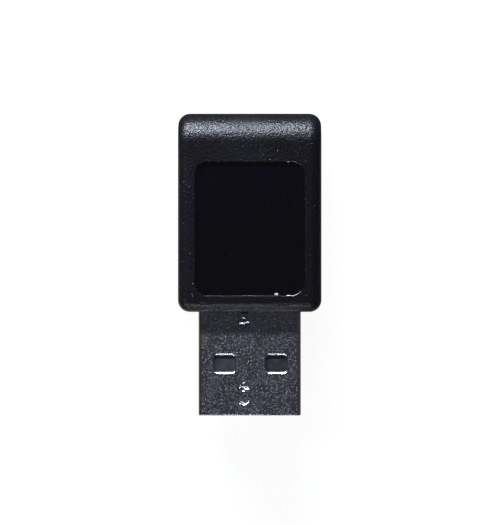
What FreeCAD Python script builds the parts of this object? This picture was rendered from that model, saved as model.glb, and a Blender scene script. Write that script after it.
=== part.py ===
import FreeCAD, Part
import math
import os
from FreeCAD import Placement, Rotation, Vector

# A small radio stick with a USB type A plug, in millimetres.
# +Z is the side with the recessed field, the plug points to -Y, and the origin is the
# middle of the outline at the height of the flat underside.

# How far a cutter runs past what it cuts, and how near an edge must lie to be picked
cutter_run = 1.0
near_enough = 0.01

# Casing
casing_width = 16.8
casing_length = 23.3
casing_height = 8.0
casing_wall = 1.2
end_roll = 3.5
edge_roll = 1.4
smallest_roll = 0.3
seam_groove_width = 0.2
seam_groove_depth = 0.12

# Recessed polished field in the upper casing
field_width = 12.85
field_length = 15.7
field_front_margin = 1.9
field_corner = 1.5
field_depth = 0.35

# Lip of the lower casing inside the wall of the upper one
lip_height = 0.8
lip_thickness = 0.55
lip_gap = 0.05
nose_length = 3.6
nose_reach = 0.2
nose_height = 0.4
nose_spacing = 10.0
nose_gap = 0.04

# Plug, whose middle is at the parting plane
plug_width = 12.0
plug_height = 4.5
plug_reach = 12.15
plug_inside = 6.6
sheet = 0.3
plug_bend = 0.5
plug_gap = 0.08
tip_bevel = 0.12

# Windows in both broad faces of the plug
window_width = 2.5
window_length = 2.05
window_from_tip = 6.02
window_offset = 3.05
window_corner = 0.4
window_bevel = 0.24

# Seam of the folded sheet and its dovetails
seam_gap = 0.06
tab_length = 1.3
tab_neck = 1.5
tab_flare = 1.9
tab_corner = 0.2
tab_near_tip = 2.33
tab_spacing = 9.12
punch_radius = 0.45
punch_floor_radius = 0.2
punch_depth = 0.13
punch_across = 0.77

# Solder legs of the plug
leg_length = 2.6
leg_height = 1.9
leg_slot_gap = 0.12

# Plastic insulator of the plug
insulator_gap = 0.05
insulator_setback = 0.4
insulator_lead_in = 0.3
tongue_thickness = 1.95
mating_depth = 11.6
insulator_inside = 0.8

# Contacts
contact_width = 1.0
contact_thickness = 0.25
contact_proud = 0.08
contact_nose_bend = 0.35
contact_nose_turn = 60.0
contact_side_gap = 0.04
contact_low_gap = 0.02
contact_end_gap = 0.2
tail_length = 2.6
power_offset = 3.5
data_offset = 1.0
power_setback = 1.4
data_setback = 2.4

# Circuit board
board_thickness = 1.0
board_side_gap = 0.35
board_front_gap = 0.2
board_corner = 0.5

# Posts that hold the board near its far end, and the ribs round the plug's rear
post_radius = 0.95
pin_radius = 0.5
pin_gap = 0.06
pin_reach = 0.9
boss_radius = 1.15
post_side_inset = 1.7
post_end_inset = 1.5
pin_end_gap = 0.12
rib_thickness = 0.8
rib_gap = 0.08
rib_root = 0.3
stop_cover = 1.0
stop_side_inset = 1.4
cradle_from_rear = 1.6

# Parts on the board
part_gap = 0.15
side_part_inset = 1.65
chip_side = 5.0
chip_height = 0.85
chip_gap = 0.9
chip_chamfer = 0.06
chip_key_radius = 0.35
chip_key_inset = 0.8
chip_key_depth = 0.12
can_length = 2.5
can_width = 2.0
can_base = 0.35
can_height = 0.8
can_rim = 0.12
can_corner = 0.24
filter_side = 2.5
filter_base = 0.5
filter_height = 1.0
filter_rim = 0.15

# Small packages with three to eight leads
lead_thickness = 0.15
lead_foot = 0.3
package_lift = 0.06
package_chamfer = 0.1
regulator_length = 2.0
regulator_width = 1.25
regulator_height = 0.95
regulator_pitch = 0.65
protector_length = 2.9
protector_width = 1.6
protector_height = 1.1
protector_pitch = 0.95
protector_lead_width = 0.4
memory_length = 3.0
memory_width = 4.4
memory_height = 1.05
memory_pitch = 0.65
narrow_lead_width = 0.3

# Chip capacitors, resistors, coils and the bead: length, width, height
capacitor_size = (1.6, 0.8, 0.8)
capacitor_rows = (3, 2)
bulk_capacitor_size = (2.0, 1.25, 1.25)
resistor_size = (1.6, 0.8, 0.45)
resistor_rows = 3
coil_size = (1.0, 0.5, 0.5)
coil_count = 3
coil_pitch = 1.5
coil_end_inset = 0.5
bead_size = (2.0, 1.25, 0.9)
cap_share = 0.22
cap_proud = 0.03
row_gap = 0.35
column_inset = 2.25

# Spring antenna past the far edge of the board
antenna_wire = 0.5
antenna_sides = 6
antenna_turns = 4.5
antenna_pitch = 1.15
antenna_leg = 1.2
antenna_gap = 0.3
antenna_end_gap = 0.8
antenna_overlap = 0.12

# Solder
solder_reach = 0.3
wire_solder_reach = 0.45
wire_solder_share = 0.75

# Positions that follow from the sizes above
total_length = casing_length + plug_reach
far_y = total_length / 2
front_y = far_y - casing_length
parting_height = casing_height / 2
tip_y = front_y - plug_reach
plug_rear_y = front_y + plug_inside
plug_low_z = parting_height - plug_height / 2
plug_top_z = parting_height + plug_height / 2
window_y = tip_y + window_from_tip
tongue_low_z = plug_top_z - sheet - tongue_thickness
contact_low_z = tongue_low_z - contact_proud
board_top_z = contact_low_z
board_low_z = board_top_z - board_thickness
board_front_y = plug_rear_y + board_front_gap
antenna_outer = board_thickness / 2 + antenna_wire
antenna_y = far_y - casing_wall - antenna_end_gap - antenna_outer
board_end_y = antenna_y - antenna_outer - antenna_gap
board_half_width = casing_width / 2 - casing_wall - board_side_gap
post_x = board_half_width - post_side_inset
post_y = board_end_y - post_end_inset
ceiling_z = casing_height - casing_wall
rib_low_z = casing_wall - rib_root
rib_top_z = ceiling_z + rib_root
lip_top_z = parting_height + lip_height
field_low_z = casing_height - field_depth
field_front_y = front_y + field_front_margin
tail_end_y = board_front_y + tail_length - board_front_gap
side_part_x = board_half_width - side_part_inset
column_x = board_half_width - column_inset
near_limit_y = plug_rear_y + leg_length + leg_slot_gap + part_gap
far_limit_y = post_y - boss_radius - part_gap
under_limit_y = plug_rear_y + rib_gap + rib_thickness + part_gap
protector_reach = protector_width / 2 + 2 * lead_thickness + lead_foot
protector_y = under_limit_y + protector_reach
memory_y = protector_y + protector_reach + part_gap + memory_length / 2


def box_between(low, high):
    size = Vector(*high) - Vector(*low)
    return Part.makeBox(size.x, size.y, size.z, Vector(*low))


def fuse_all(shapes):
    if len(shapes) == 1:
        return shapes[0]
    return shapes[0].multiFuse(shapes[1:]).removeSplitter()


def edges_along(shape, axis):
    """Straight edges of a shape that run along one axis."""
    found = []
    for edge in shape.Edges:
        if isinstance(edge.Curve, Part.Line) and abs(edge.Curve.Direction.dot(axis)) > 1 - near_enough:
            found.append(edge)
    return found


def rounded_box(low, high, radius, axis=Vector(0, 0, 1)):
    """A box whose four edges along one axis are rounded."""
    block = box_between(low, high)
    return block.makeFillet(radius, edges_along(block, axis))


def cylinder_up(x, y, low_z, high_z, radius):
    return Part.makeCylinder(radius, high_z - low_z, Vector(x, y, low_z))


def casing_block(inset):
    """The casing's outside, or the space inside it.

    A large roll at the far end, then one radius round both side faces and along the front
    and lower edges. Deep inside the wall, where that radius runs out, corners are sharp.
    """
    half = casing_width / 2 - inset
    top = casing_height - inset
    far = far_y - inset
    block = box_between((-half, front_y + inset, inset), (half, far, top))
    end_edges = []
    for edge in edges_along(block, Vector(1, 0, 0)):
        middle = edge.CenterOfMass
        if middle.y > far - near_enough and middle.z > top - near_enough:
            end_edges.append(edge)
    block = block.makeFillet(end_roll - inset, end_edges)
    if edge_roll - inset < smallest_roll:
        return block
    side_edges = []
    for edge in block.Edges:
        middle = edge.CenterOfMass
        on_side = abs(abs(middle.x) - half) < near_enough
        at_front = middle.y < front_y + inset + near_enough
        at_floor = middle.z < inset + near_enough
        if on_side or at_front or at_floor:
            side_edges.append(edge)
    return block.makeFillet(edge_roll - inset, side_edges)


def slab(low_z, high_z):
    """Everything between two heights."""
    reach = total_length
    return box_between((-reach, -reach, low_z), (reach, reach, high_z))


def outline_block(inset, low_z, high_z):
    """The casing's outline in plan, drawn in by an inset, as an upright block."""
    half = casing_width / 2 - inset
    low = (-half, front_y + inset, low_z)
    high = (half, far_y - inset, high_z)
    if edge_roll - inset < smallest_roll:
        return box_between(low, high)
    return rounded_box(low, high, edge_roll - inset)


def wall_ring(outer_inset, inner_inset, low_z, high_z):
    """An upright ring in the casing's wall, between two depths and two heights."""
    return outline_block(outer_inset, low_z, high_z).cut(outline_block(inner_inset, low_z, high_z))


def plug_opening():
    """The hole through the front wall that the plug comes out of."""
    half = plug_width / 2 + plug_gap
    low = (-half, front_y - cutter_run, plug_low_z - plug_gap)
    high = (half, front_y + casing_wall + cutter_run, plug_top_z + plug_gap)
    return rounded_box(low, high, plug_bend + plug_gap, Vector(0, 1, 0))


def seam_groove():
    """Shadow groove round the casing at the parting plane."""
    half = seam_groove_width / 2
    return wall_ring(-seam_groove_depth, seam_groove_depth, parting_height - half, parting_height + half)


def field_recess():
    half = field_width / 2
    low = (-half, field_front_y, field_low_z)
    high = (half, field_front_y + field_length, casing_height + cutter_run)
    return rounded_box(low, high, field_corner)


def snap_noses(grow):
    """Ridges on the lip's outside, or the pockets for them when grown by a gap."""
    face = casing_width / 2 - casing_wall + lip_thickness
    middle_y = front_y + casing_length / 2
    middle_z = parting_height + lip_height / 2
    noses = []
    for side in (-1, 1):
        for row in (-1, 1):
            y = middle_y + row * nose_spacing / 2
            inner = face - lip_thickness / 2
            outer = face + nose_reach + grow
            half_length = nose_length / 2 + grow
            half_height = nose_height / 2 + grow
            profile = Part.makePolygon([
                Vector(side * inner, y - half_length, middle_z - half_height),
                Vector(side * outer, y - half_length, middle_z - half_height / 2),
                Vector(side * outer, y - half_length, middle_z + half_height / 2),
                Vector(side * inner, y - half_length, middle_z + half_height),
                Vector(side * inner, y - half_length, middle_z - half_height),
            ])
            noses.append(Part.Face(profile).extrude(Vector(0, 2 * half_length, 0)))
    return fuse_all(noses)


def post_places():
    return [(-post_x, post_y), (post_x, post_y)]


def stop_rib(low_z, high_z):
    """A wall behind the plug's shell that takes the push of plugging in."""
    half = plug_width / 2 - stop_side_inset
    low = (-half, plug_rear_y + rib_gap, low_z)
    high = (half, plug_rear_y + rib_gap + rib_thickness, high_z)
    return box_between(low, high)


def cradle(low_z, high_z, seat_gap):
    """A saddle across the casing that the plug's shell lies in."""
    half = casing_width / 2 - casing_wall / 2
    y = plug_rear_y - cradle_from_rear
    block = box_between((-half, y - rib_thickness, low_z), (half, y, high_z))
    inner = plug_width / 2 + rib_gap
    low = (-inner, y - rib_thickness - cutter_run, plug_low_z - seat_gap)
    high = (inner, y + cutter_run, plug_top_z + seat_gap)
    return block.cut(rounded_box(low, high, plug_bend, Vector(0, 1, 0)))


def upper_casing():
    """Half of the casing, with its ribs, the bosses over the posts and the seat for the lip."""
    upper = casing_block(0).common(slab(parting_height, casing_height + cutter_run))
    inner = [
        stop_rib(plug_top_z - stop_cover, rib_top_z),
        cradle(lip_top_z + lip_gap + rib_gap, rib_top_z, rib_gap),
    ]
    for x, y in post_places():
        inner.append(cylinder_up(x, y, board_top_z + rib_gap, rib_top_z, boss_radius))
    upper = fuse_all([upper.cut(casing_block(casing_wall))] + inner)
    for x, y in post_places():
        bore_top = board_top_z + pin_reach + pin_end_gap
        upper = upper.cut(cylinder_up(x, y, board_top_z, bore_top, pin_radius + pin_gap))
    seat_depth = casing_wall - lip_thickness - lip_gap
    upper = upper.cut(wall_ring(seat_depth, casing_wall, parting_height, lip_top_z + lip_gap))
    for cutter in (snap_noses(nose_gap), plug_opening(), field_recess(), seam_groove()):
        upper = upper.cut(cutter)
    return upper.removeSplitter()


def lower_casing():
    """The other half, with the lip and its noses, the ribs and the posts with their pins."""
    lower = casing_block(0).common(slab(-cutter_run, parting_height))
    lip_root_z = parting_height - lip_height / 2
    inner = [
        wall_ring(casing_wall - lip_thickness, casing_wall, lip_root_z, lip_top_z),
        snap_noses(0),
        stop_rib(rib_low_z, board_low_z - rib_gap),
        cradle(rib_low_z, parting_height - rib_gap, 0),
    ]
    for x, y in post_places():
        inner.append(cylinder_up(x, y, rib_low_z, board_low_z, post_radius))
        inner.append(cylinder_up(x, y, rib_low_z, board_top_z + pin_reach, pin_radius))
    lower = fuse_all([lower.cut(casing_block(casing_wall))] + inner)
    lower = lower.cut(plug_opening())
    return lower.cut(seam_groove()).removeSplitter()


def sheet_tube():
    """The folded shell before its windows and seam are cut."""
    half = plug_width / 2
    low = (-half, tip_y, plug_low_z)
    high = (half, plug_rear_y, plug_top_z)
    outside = rounded_box(low, high, plug_bend, Vector(0, 1, 0))
    tip_edges = [edge for edge in outside.Edges if abs(edge.BoundBox.YMax - tip_y) < near_enough]
    outside = outside.makeChamfer(tip_bevel, tip_edges)
    low = (-half + sheet, tip_y - cutter_run, plug_low_z + sheet)
    high = (half - sheet, plug_rear_y + cutter_run, plug_top_z - sheet)
    return outside.cut(rounded_box(low, high, plug_bend - sheet, Vector(0, 1, 0)))


def window_cutter(x, face_z, outward):
    """One window, with the coined bevel on its two cross edges."""
    half_x = window_width / 2
    half_y = window_length / 2
    inner_z = face_z - outward * 2 * sheet
    outer_z = face_z + outward * cutter_run
    low = (x - half_x, window_y - half_y, min(inner_z, outer_z))
    high = (x + half_x, window_y + half_y, max(inner_z, outer_z))
    hole = rounded_box(low, high, window_corner)
    slope_y = window_bevel + near_enough
    bevel_z = face_z - outward * window_bevel
    over_z = face_z + outward * near_enough
    wedge = Part.makePolygon([
        Vector(x - half_x, window_y - half_y, bevel_z),
        Vector(x - half_x, window_y + half_y, bevel_z),
        Vector(x - half_x, window_y + half_y + slope_y, over_z),
        Vector(x - half_x, window_y - half_y - slope_y, over_z),
        Vector(x - half_x, window_y - half_y, bevel_z),
    ])
    bevel = Part.Face(wedge).extrude(Vector(window_width, 0, 0))
    low = (x - half_x, window_y - half_y - window_bevel, face_z - cutter_run)
    high = (x + half_x, window_y + half_y + window_bevel, face_z + cutter_run)
    return hole.fuse(bevel.common(rounded_box(low, high, window_corner)))


def tab_outline(middle_y, grow, right_x):
    """A dovetail that reaches across the seam to -X, grown all round by a gap."""
    left = -tab_length - grow
    neck = tab_neck / 2 + grow
    flare = tab_flare / 2 + grow
    corners = [(right_x, neck), (left, flare), (left, -flare), (right_x, -neck), (right_x, neck)]
    points = [Vector(x, middle_y + y, parting_height) for x, y in corners]
    tab = Part.Face(Part.makePolygon(points)).extrude(Vector(0, 0, plug_height))
    tip_edges = []
    for edge in edges_along(tab, Vector(0, 0, 1)):
        if edge.CenterOfMass.x < left + near_enough:
            tip_edges.append(edge)
    return tab.makeFillet(tab_corner + grow, tip_edges)


def tab_places():
    near = tip_y + tab_near_tip
    return [near, near + tab_spacing]


def seam_cutter():
    """The slit between the sheet's two ends: straight, and round each dovetail."""
    half = seam_gap / 2
    low = (-half, tip_y - cutter_run, parting_height)
    high = (half, plug_rear_y + cutter_run, plug_top_z + cutter_run)
    slit = box_between(low, high)
    for y in tab_places():
        slit = slit.fuse(tab_outline(y, seam_gap, half))
        slit = slit.cut(tab_outline(y, 0, tab_length))
    return slit


def punch_places():
    near, far = tab_places()
    return [(-punch_across, near + tab_flare / 2), (-punch_across, far - tab_flare / 2)]


def solder_leg(side):
    """A tongue of the shell's side wall that goes on into a slot of the board."""
    outer = side * plug_width / 2
    inner = side * (plug_width / 2 - sheet)
    low_z = parting_height - leg_height / 2
    low = (min(outer, inner), plug_rear_y - cutter_run, low_z)
    high = (max(outer, inner), plug_rear_y + leg_length, low_z + leg_height)
    return rounded_box(low, high, sheet, Vector(1, 0, 0))


def plug_shell():
    shell = fuse_all([sheet_tube(), solder_leg(-1), solder_leg(1)])
    for x in (-window_offset, window_offset):
        shell = shell.cut(window_cutter(x, plug_top_z, 1))
        shell = shell.cut(window_cutter(x, plug_low_z, -1))
    shell = shell.cut(seam_cutter())
    for x, y in punch_places():
        floor = Vector(x, y, plug_top_z - punch_depth)
        shell = shell.cut(Part.makeCone(punch_floor_radius, punch_radius, punch_depth, floor))
    return shell


def contact(x, setback):
    """A flat strip, straight from its tail, with its nose bent up into the plastic."""
    start_y = tip_y + insulator_setback + setback
    low = contact_low_z
    high = contact_low_z + contact_thickness
    bend = contact_nose_bend
    turn = math.radians(contact_nose_turn)
    centre_z = high + bend
    outer = bend + high - low
    nose_y = start_y + outer * math.sin(turn)
    inner_tip = Vector(0, nose_y - bend * math.sin(turn), centre_z - bend * math.cos(turn))
    outer_tip = Vector(0, nose_y - outer * math.sin(turn), centre_z - outer * math.cos(turn))
    inner_mid = Vector(0, nose_y - bend * math.sin(turn / 2), centre_z - bend * math.cos(turn / 2))
    outer_mid = Vector(0, nose_y - outer * math.sin(turn / 2), centre_z - outer * math.cos(turn / 2))
    edges = [
        Part.LineSegment(Vector(0, tail_end_y, low), Vector(0, nose_y, low)).toShape(),
        Part.Arc(Vector(0, nose_y, low), outer_mid, outer_tip).toShape(),
        Part.LineSegment(outer_tip, inner_tip).toShape(),
        Part.Arc(inner_tip, inner_mid, Vector(0, nose_y, high)).toShape(),
        Part.LineSegment(Vector(0, nose_y, high), Vector(0, tail_end_y, high)).toShape(),
        Part.LineSegment(Vector(0, tail_end_y, high), Vector(0, tail_end_y, low)).toShape(),
    ]
    face = Part.Face(Part.Wire(edges))
    face.translate(Vector(x - contact_width / 2, 0, 0))
    return face.extrude(Vector(contact_width, 0, 0))


def contact_slot(x, setback):
    """Room for a contact in the insulator, open to the mating side and to the rear."""
    half = contact_width / 2 + contact_side_gap
    nose_y = tip_y + insulator_setback + setback
    strip = box_between((x - half, nose_y, contact_low_z - contact_low_gap),
                        (x + half, tail_end_y, contact_low_z + contact_thickness))
    nose = box_between((x - half, nose_y - contact_end_gap, contact_low_z),
                       (x + half, nose_y + contact_thickness + contact_nose_bend,
                        contact_low_z + contact_thickness + contact_nose_bend))
    return strip.fuse(nose)


def contact_places():
    return [
        ("contact_power", power_offset, power_setback),
        ("contact_data_minus", data_offset, data_setback),
        ("contact_data_plus", -data_offset, data_setback),
        ("contact_ground", -power_offset, power_setback),
    ]


def plug_insulator():
    half = plug_width / 2 - sheet - insulator_gap
    top = plug_top_z - sheet
    low = plug_low_z + sheet + insulator_gap
    start = tip_y + insulator_setback
    end = plug_rear_y - insulator_inside
    tongue = box_between((-half, start, tongue_low_z), (half, end, top))
    front_edges = []
    for edge in edges_along(tongue, Vector(1, 0, 0)):
        if edge.CenterOfMass.y < start + near_enough:
            front_edges.append(edge)
    tongue = tongue.makeChamfer(insulator_lead_in, front_edges)
    base = box_between((-half, tip_y + mating_depth, low), (half, end, top))
    block = tongue.fuse(base).removeSplitter()
    long_edges = []
    for edge in edges_along(block, Vector(0, 1, 0)):
        middle = edge.CenterOfMass
        at_corner = min(abs(middle.z - low), abs(middle.z - top)) < near_enough
        if at_corner and abs(abs(middle.x) - half) < near_enough:
            long_edges.append(edge)
    block = block.makeFillet(plug_bend - sheet, long_edges)
    for name, x, setback in contact_places():
        block = block.cut(contact_slot(x, setback))
    return block


def circuit_board():
    low = (-board_half_width, board_front_y, board_low_z)
    high = (board_half_width, board_end_y, board_top_z)
    board = rounded_box(low, high, board_corner)
    for x, y in post_places():
        hole = cylinder_up(x, y, board_low_z - cutter_run, board_top_z + cutter_run, pin_radius + pin_gap)
        board = board.cut(hole)
    for side in (-1, 1):
        outer = side * (plug_width / 2 + leg_slot_gap)
        inner = side * (plug_width / 2 - sheet - leg_slot_gap)
        slot_end_y = plug_rear_y + leg_length + leg_slot_gap
        slot_low = (min(outer, inner), board_front_y - cutter_run, board_low_z - cutter_run)
        slot_high = (max(outer, inner), slot_end_y, board_top_z + cutter_run)
        board = board.cut(box_between(slot_low, slot_high))
    return board.removeSplitter()


def on_board(shape, x, y, turn, upper_side):
    """Puts a part that was made on z = 0 onto the upper or the lower side of the board."""
    if upper_side:
        placed = Placement(Vector(x, y, board_top_z), Rotation(Vector(0, 0, 1), turn))
    else:
        flip = Rotation(Vector(0, 1, 0), 180)
        placed = Placement(Vector(x, y, board_low_z), flip.multiply(Rotation(Vector(0, 0, 1), turn)))
    shape.Placement = placed
    return shape


def block_on_zero(length, width, low_z, high_z, top_chamfer):
    block = box_between((-length / 2, -width / 2, low_z), (length / 2, width / 2, high_z))
    if top_chamfer == 0:
        return block
    top_edges = [edge for edge in block.Edges if edge.BoundBox.ZMin > high_z - near_enough]
    return block.makeChamfer(top_chamfer, top_edges)


def chip_part(size):
    """A two-ended chip part: a body between two end caps that stand a little proud of it."""
    length, width, height = size
    cap = cap_share * length
    body = box_between((-length / 2 + cap, -width / 2 + cap_proud, cap_proud),
                       (length / 2 - cap, width / 2 - cap_proud, height - cap_proud))
    caps = []
    for side in (-1, 1):
        inner = side * (length / 2 - cap)
        outer = side * length / 2
        caps.append(box_between((min(inner, outer), -width / 2, 0), (max(inner, outer), width / 2, height)))
    return fuse_all([body] + caps)


def lead(width, height, side):
    """A gull-wing lead that leaves a package's side and ends in a foot on the board."""
    middle = height / 2
    half = lead_thickness / 2
    edge = width / 2
    knee = edge + lead_thickness
    heel = edge + 2 * lead_thickness
    toe = heel + lead_foot
    outline = [
        (edge - lead_thickness, middle + half),
        (knee, middle + half),
        (heel, lead_thickness),
        (toe, lead_thickness),
        (toe, 0),
        (heel - half, 0),
        (knee - lead_thickness, middle - half),
        (edge - lead_thickness, middle - half),
    ]
    points = [Vector(0, side * y, z) for y, z in outline + outline[:1]]
    return Part.Face(Part.makePolygon(points))


def leaded_package(length, width, height, near_leads, far_leads, lead_width):
    """A moulded package with leads along its two long sides, at the places listed."""
    pieces = [block_on_zero(length, width, package_lift, height, package_chamfer)]
    for side, places in ((-1, near_leads), (1, far_leads)):
        for x in places:
            face = lead(width, height, side)
            face.translate(Vector(x - lead_width / 2, 0, 0))
            pieces.append(face.extrude(Vector(lead_width, 0, 0)))
    return fuse_all(pieces)


def spaced(count, pitch):
    """Places along a line, centred on zero."""
    return [(index - (count - 1) / 2) * pitch for index in range(count)]


def radio_chip():
    chip = block_on_zero(chip_side, chip_side, 0, chip_height, chip_chamfer)
    key = chip_side / 2 - chip_key_inset
    mark = Part.makeCylinder(chip_key_radius, chip_key_depth, Vector(-key, key, chip_height - chip_key_depth))
    return on_board(chip.cut(mark), 0, tail_end_y + chip_gap + chip_side / 2, 0, True)


def crystal_can():
    """A ceramic base with a welded metal lid, in one sealed can."""
    base = block_on_zero(can_length, can_width, 0, can_base, 0)
    lid = rounded_box((-can_length / 2 + can_rim, -can_width / 2 + can_rim, can_base),
                      (can_length / 2 - can_rim, can_width / 2 - can_rim, can_height), can_corner)
    return on_board(fuse_all([base, lid]), side_part_x, far_limit_y - can_width / 2, 0, True)


def saw_filter():
    base = block_on_zero(filter_side, filter_side, 0, filter_base, 0)
    lid_side = filter_side - 2 * filter_rim
    lid = block_on_zero(lid_side, lid_side, filter_base, filter_height, 0)
    return on_board(fuse_all([base, lid]), -side_part_x, far_limit_y - filter_side / 2, 0, True)


def voltage_regulator():
    package = leaded_package(regulator_length, regulator_width, regulator_height,
                             spaced(3, regulator_pitch), spaced(2, 2 * regulator_pitch), narrow_lead_width)
    return on_board(package, side_part_x, near_limit_y + regulator_length / 2, 90, True)


def surge_protector():
    package = leaded_package(protector_length, protector_width, protector_height,
                             spaced(3, protector_pitch), spaced(3, protector_pitch), protector_lead_width)
    return on_board(package, 0, protector_y, 0, False)


def memory_chip():
    package = leaded_package(memory_length, memory_width, memory_height,
                             spaced(4, memory_pitch), spaced(4, memory_pitch), narrow_lead_width)
    return on_board(package, 0, memory_y, 90, False)


def bulk_capacitor():
    y = near_limit_y + bulk_capacitor_size[1] / 2
    return on_board(chip_part(bulk_capacitor_size), -side_part_x, y, 0, True)


def ferrite_bead():
    return on_board(chip_part(bead_size), column_x, under_limit_y + bead_size[1] / 2, 0, False)


def chip_column(size, rows, x, first_y):
    """Chip parts one behind the other under the board, from the edge at first_y on."""
    pitch = size[1] + row_gap
    middle_y = first_y + size[1] / 2
    return [on_board(chip_part(size), x, middle_y + row * pitch, 0, False) for row in range(rows)]


def capacitors():
    """Decoupling capacitors under the board, past the bead and past the resistors."""
    past_bead, past_resistors = capacitor_rows
    bead_end_y = under_limit_y + bead_size[1] + row_gap
    resistor_end_y = under_limit_y + resistor_rows * (resistor_size[1] + row_gap)
    placed = chip_column(capacitor_size, past_bead, column_x, bead_end_y)
    placed += chip_column(capacitor_size, past_resistors, -column_x, resistor_end_y)
    return Part.makeCompound(placed)


def resistors():
    """Series resistors of the data lines and a pull-up, under the board's front edge."""
    return Part.makeCompound(chip_column(resistor_size, resistor_rows, -column_x, under_limit_y))


def matching_coils():
    """Chip coils between the radio chip and the antenna."""
    y = board_end_y - coil_end_inset - coil_size[0] / 2
    placed = [on_board(chip_part(coil_size), x, y, 90, True) for x in spaced(coil_count, coil_pitch)]
    return Part.makeCompound(placed)


def antenna_spring():
    """A helix along X past the board's edge: one leg on the board, the other under it."""
    radius = (board_thickness + antenna_wire) / 2
    wire = antenna_wire / 2
    length = antenna_turns * antenna_pitch
    middle = Vector(length / 2, antenna_y, (board_top_z + board_low_z) / 2)
    helix = Part.makeHelix(antenna_pitch, length, radius)
    along = Vector(0, 2 * math.pi * radius, antenna_pitch)
    turn = Rotation(Vector(0, 0, 1), along)
    corners = []
    for index in range(antenna_sides + 1):
        angle = 2 * math.pi * (index + 0.5) / antenna_sides
        corner = turn.multVec(Vector(wire * math.cos(angle), wire * math.sin(angle), 0))
        corners.append(corner + Vector(radius, 0, 0))
    coil = Part.Wire(helix.Edges).makePipeShell([Part.makePolygon(corners)], True, True)
    coil.Placement = Placement(middle, Rotation(Vector(0, 1, 0), -90))
    top = middle + Vector(0, 0, radius)
    bottom = middle + Vector(-length, 0, -radius)
    reach = antenna_y - board_end_y + antenna_leg + antenna_overlap
    for end in (top, bottom):
        start = end + Vector(0, antenna_overlap, 0)
        coil = coil.fuse(Part.makeCylinder(wire, reach, start, Vector(0, -1, 0)))
    return coil


def solder_fillet(corner, along, out, up):
    """A fillet of solder in the corner between a metal side and the board."""
    outline = Part.makePolygon([corner, corner + out, corner + up, corner])
    return Part.Face(outline).extrude(along)


def tail_solder():
    """Solder at the end of each contact's tail."""
    along = Vector(contact_width, 0, 0)
    out = Vector(0, solder_reach, 0)
    up = Vector(0, 0, contact_thickness)
    fillets = []
    for name, x, setback in contact_places():
        corner = Vector(x - contact_width / 2, tail_end_y, board_top_z)
        fillets.append(solder_fillet(corner, along, out, up))
    return fillets


def leg_solder():
    """Solder along both faces of each leg of the shell."""
    along = Vector(0, leg_length - board_front_gap - sheet, 0)
    up = Vector(0, 0, solder_reach)
    fillets = []
    for side in (-1, 1):
        for face_x, out in ((plug_width / 2, side), (plug_width / 2 - sheet, -side)):
            corner = Vector(side * face_x, board_front_y, board_top_z)
            fillets.append(solder_fillet(corner, along, Vector(out * solder_reach, 0, 0), up))
    return fillets


def wire_solder(antenna):
    """Solder along both sides of the antenna's two legs."""
    end_x = antenna_turns * antenna_pitch / 2
    along = Vector(0, antenna_leg, 0)
    height = wire_solder_share * antenna_wire
    fillets = []
    for x, z, side in ((end_x, board_top_z, 1), (-end_x, board_low_z, -1)):
        corner = Vector(x, board_end_y - antenna_leg, z)
        for out in (-wire_solder_reach, wire_solder_reach):
            fillet = solder_fillet(corner, along, Vector(out, 0, 0), Vector(0, 0, side * height))
            fillets.append(fillet.cut(antenna))
    return fillets


def solder_joints(antenna):
    return Part.makeCompound(tail_solder() + leg_solder() + wire_solder(antenna))


antenna = antenna_spring()
nodes = {
    "upper_casing": upper_casing(),
    "lower_casing": lower_casing(),
    "plug_shell": plug_shell(),
    "plug_insulator": plug_insulator(),
    "circuit_board": circuit_board(),
    "radio_chip": radio_chip(),
    "memory_chip": memory_chip(),
    "crystal_can": crystal_can(),
    "saw_filter": saw_filter(),
    "voltage_regulator": voltage_regulator(),
    "surge_protector": surge_protector(),
    "bulk_capacitor": bulk_capacitor(),
    "ferrite_bead": ferrite_bead(),
    "capacitors": capacitors(),
    "resistors": resistors(),
    "matching_coils": matching_coils(),
    "antenna_spring": antenna,
    "solder_joints": solder_joints(antenna),
}
for name, x, setback in contact_places():
    nodes[name] = contact(x, setback)

os.makedirs("parts", exist_ok=True)
for name, shape in nodes.items():
    shape.exportStep("parts/" + name + ".step")
    print(name, "solids", len(shape.Solids), "volume", round(shape.Volume, 3), "valid", shape.isValid())
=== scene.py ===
import math

import bmesh
import bpy
from mathutils import Matrix, Vector


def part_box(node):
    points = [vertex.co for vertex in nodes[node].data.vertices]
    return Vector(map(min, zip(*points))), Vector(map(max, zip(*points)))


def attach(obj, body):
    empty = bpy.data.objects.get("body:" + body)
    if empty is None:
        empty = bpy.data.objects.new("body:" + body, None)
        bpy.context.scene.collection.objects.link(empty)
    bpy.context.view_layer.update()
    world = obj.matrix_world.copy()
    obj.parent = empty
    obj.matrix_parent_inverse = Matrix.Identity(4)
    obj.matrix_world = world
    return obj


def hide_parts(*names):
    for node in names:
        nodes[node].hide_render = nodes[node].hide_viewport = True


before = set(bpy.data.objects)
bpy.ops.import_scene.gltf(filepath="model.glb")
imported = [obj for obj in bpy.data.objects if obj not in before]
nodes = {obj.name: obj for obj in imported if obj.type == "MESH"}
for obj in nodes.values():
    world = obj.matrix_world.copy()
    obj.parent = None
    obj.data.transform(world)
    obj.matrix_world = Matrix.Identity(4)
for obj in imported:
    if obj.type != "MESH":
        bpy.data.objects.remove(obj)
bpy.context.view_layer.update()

mm = 0.001
print("frame loaded:", len(nodes), "nodes")


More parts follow.
